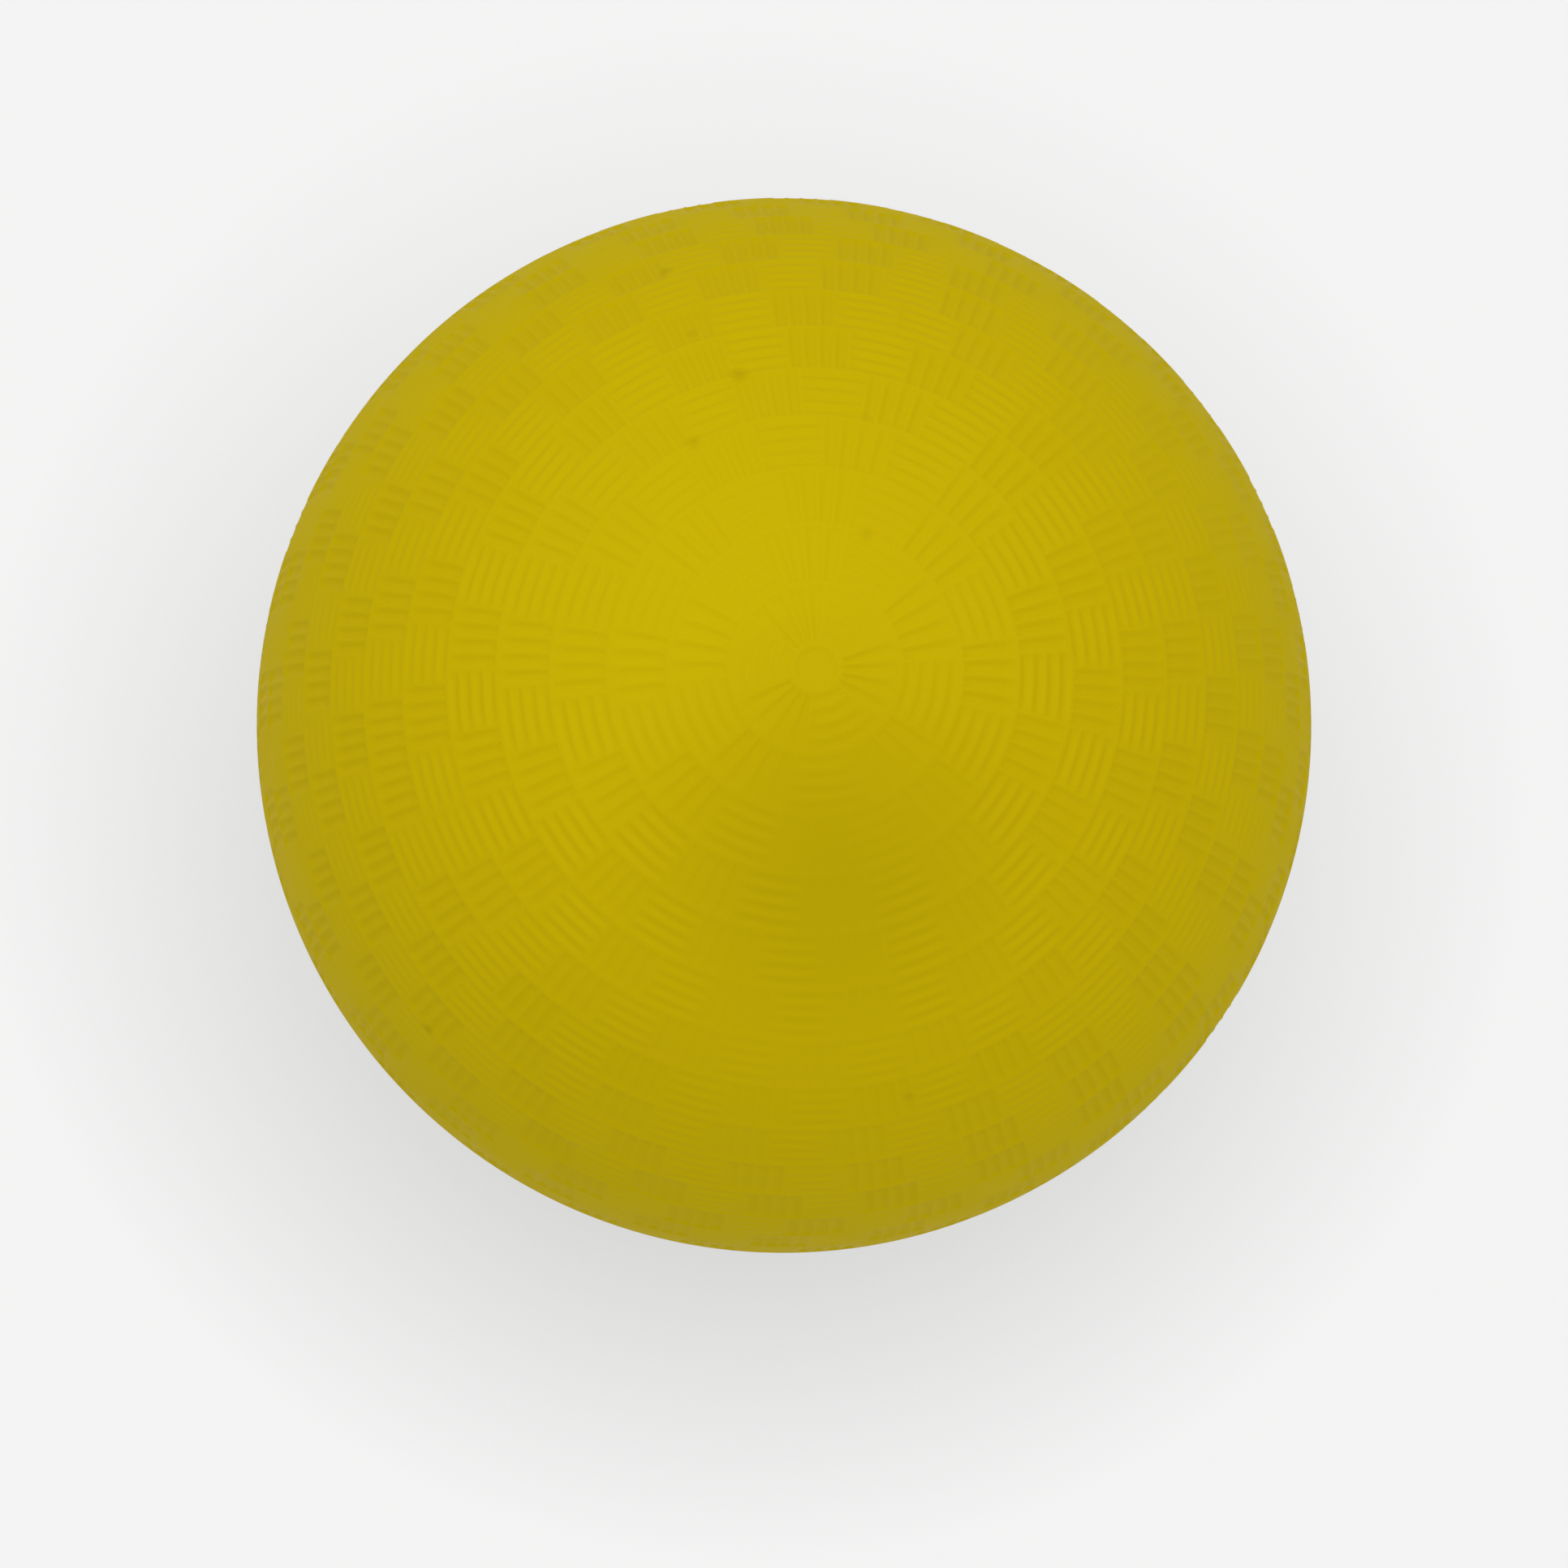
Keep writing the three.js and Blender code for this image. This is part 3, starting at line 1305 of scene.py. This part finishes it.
@dataclass
class Studio:
    """Pale floor, soft white surroundings, two soft lamps and the camera.

    Args:
        ball: Sizes of the whole ball.
        frame_pixels: Side of the photograph's frame.
        ball_pixels: Radius of the ball in that frame.
        lift_pixels: How far the ball's middle lies above the middle of that frame.
        lens: Focal length of the camera.
        sensor: Width of the camera's sensor, in the same unit.
        azimuth: To which side of the ball's top the camera leans.
        elevation: How high the camera stands.
        floor_side: Side of the floor.
        floor_colour: Colour of the floor, as the light on the ball meets it.
        seen_floor: Colour of the floor and the surroundings, as they are seen.
        seen_shade: Colour of the floor as it is seen in full painted shadow.
        shade_reach: How far from the floor a thing still adds to its painted shadow.
        shade_lean: Direction that the floor's painted shadow is gathered round.
        seen_share: How much of the floor's look comes from its seen colours.
        world_strength: Strength of the surroundings' light.
        lamps: The lamps.
    """

    ball: BallSizes
    frame_pixels: float = 1932.0
    ball_pixels: float = 649.7
    lift_pixels: float = 71.6
    lens: float = 100.0
    sensor: float = 36.0
    azimuth: float = math.radians(28.8)
    elevation: float = math.radians(83.6)
    floor_side: float = 6.0
    floor_colour: Colour = (0.86, 0.86, 0.86)
    seen_floor: Colour = (0.915, 0.915, 0.915)
    seen_shade: Colour = (0.45, 0.45, 0.45)
    shade_reach: float = 0.085
    shade_lean: Direction = (0.02, 0.32, 0.94)
    seen_share: float = 0.93
    world_strength: float = 0.59
    lamps: tuple[SoftLamp, ...] = (
        SoftLamp("front_lamp", energy=7.0, tilt=15, bearing=45),
        SoftLamp("side_lamp", energy=2.7, tilt=55, bearing=130),
    )

    @property
    def facing(self) -> Matrix:
        """Works out how a camera stands that looks at the ball's centre.

        Returns:
            Its right, up and back, as columns.
        """
        level = math.cos(self.elevation)
        back = Vector((
            -level * math.sin(self.azimuth),
            -level * math.cos(self.azimuth),
            math.sin(self.elevation),
        ))
        right = Vector((0, 1, 0)).cross(back).normalized()
        return Matrix((right, back.cross(right), back)).transposed()

    def build(self) -> None:
        """Sets up the floor, the light and the camera."""
        self.floor()
        self.surroundings()
        for lamp in self.lamps:
            lamp.hang(self.ball.centre, self.facing)
        self.camera()
        bpy.context.scene.view_settings.view_transform = "Standard"

    def floor(self) -> None:
        """Lays the pale floor, which is seen nearly white, mostly as a glow with a painted shadow of the
        ball close to it, and partly as lit floor with its real shadow.
        """
        deselect_all()
        bpy.ops.mesh.primitive_plane_add(size=self.floor_side, location=(0, 0, 0))
        floor = bpy.context.object
        floor.name = "floor"
        sheet = NodeSheet("pale_floor")
        paint = sheet.add("BsdfDiffuse")
        paint.inputs["Color"].default_value = (*self.floor_colour, 1.0)
        lean = sheet.add("CombineXYZ")
        for socket, number in zip(lean.inputs, self.shade_lean):
            socket.default_value = number
        # Painted shadow: ambient occlusion, leaned one way, darkens the floor's glow near the ball, and the
        # ball's reflections see it too.
        painted_shadow_node = sheet.add("AmbientOcclusion")
        painted_shadow_node.inputs["Distance"].default_value = self.shade_reach
        sheet.link(lean.outputs["Vector"], painted_shadow_node.inputs["Normal"])
        glow_with_painted_shadow = sheet.blend(painted_shadow_node.outputs["AO"], self.seen_shade, self.seen_floor)
        glow = sheet.add("Emission")
        sheet.link(glow_with_painted_shadow, glow.inputs["Color"])
        path = sheet.add("LightPath").outputs
        mirrored = sheet.combine(Combine.LARGER, path["Is Glossy Ray"], path["Is Transmission Ray"])
        seen = sheet.combine(Combine.LARGER, path["Is Camera Ray"], mirrored)
        mix = sheet.add("MixShader")
        sheet.link(sheet.combine(Combine.PRODUCT, seen, self.seen_share), mix.inputs["Fac"])
        sheet.link(paint.outputs["BSDF"], mix.inputs[1])
        sheet.link(glow.outputs["Emission"], mix.inputs[2])
        sheet.link(mix.outputs["Shader"], sheet.output.inputs["Surface"])
        dress(floor, sheet.material)

    def surroundings(self) -> None:
        """Sets the white surroundings, which are seen as pale as the floor."""
        world = bpy.data.worlds.new("white_surroundings")
        world.use_nodes = True
        nodes = world.node_tree.nodes
        links = world.node_tree.links
        light = nodes["Background"]
        light.inputs["Color"].default_value = (1.0, 1.0, 1.0, 1.0)
        light.inputs["Strength"].default_value = self.world_strength
        seen = nodes.new("ShaderNodeBackground")
        seen.inputs["Color"].default_value = (*self.seen_floor, 1.0)
        mix = nodes.new("ShaderNodeMixShader")
        links.new(nodes.new("ShaderNodeLightPath").outputs["Is Camera Ray"], mix.inputs["Fac"])
        links.new(light.outputs["Background"], mix.inputs[1])
        links.new(seen.outputs["Background"], mix.inputs[2])
        links.new(mix.outputs["Shader"], nodes["World Output"].inputs["Surface"])
        bpy.context.scene.world = world

    def camera(self) -> None:
        """Sets the camera at the photograph's angle, nearly straight down, framed on the ball."""
        data = bpy.data.cameras.new("camera")
        data.lens = self.lens
        data.sensor_width = self.sensor
        camera = bpy.data.objects.new("camera", data)
        bpy.context.scene.collection.objects.link(camera)
        focal_pixels = self.lens / self.sensor * self.frame_pixels
        share = self.ball_pixels / focal_pixels
        distance = self.ball.radius * math.sqrt(1 + 1 / share**2)
        aim_down = math.atan(self.lift_pixels / focal_pixels)
        turned_down = self.facing @ Matrix.Rotation(-aim_down, 3, "X")
        camera.location = self.ball.centre + self.facing.col[2] * distance
        camera.rotation_euler = turned_down.to_euler()
        bpy.context.scene.camera = camera


def main() -> None:
    """Builds the ball piece by piece and reports each one."""
    logging.basicConfig(level=logging.INFO, format="%(message)s")
    ball = BallSizes.from_frame()
    weave = Weave()
    valve = Valve(ball)
    cover = CoverRubber(ball).material()
    upper = CoverHalf(Half.UPPER, ball, weave)
    lower = CoverHalf(Half.LOWER, ball, replace(weave, wear=(*weave.wear, valve.fade)))
    for half in (upper, lower):
        shell = half.build()
        if half is lower:
            valve.cut(shell)
        half.finish(shell, cover)
        report(shell)
    plug = valve.plug()
    valve.finish(plug, INSERT_RUBBER.material())
    report(plug)
    for name, rubber in (("bladder", BLADDER_RUBBER), ("valve_housing", HOUSING_RUBBER)):
        piece = frame["nodes"][name]
        dress(piece, rubber.material())
        report(piece)
    Studio(ball).build()


if __name__ == "__main__":
    main()
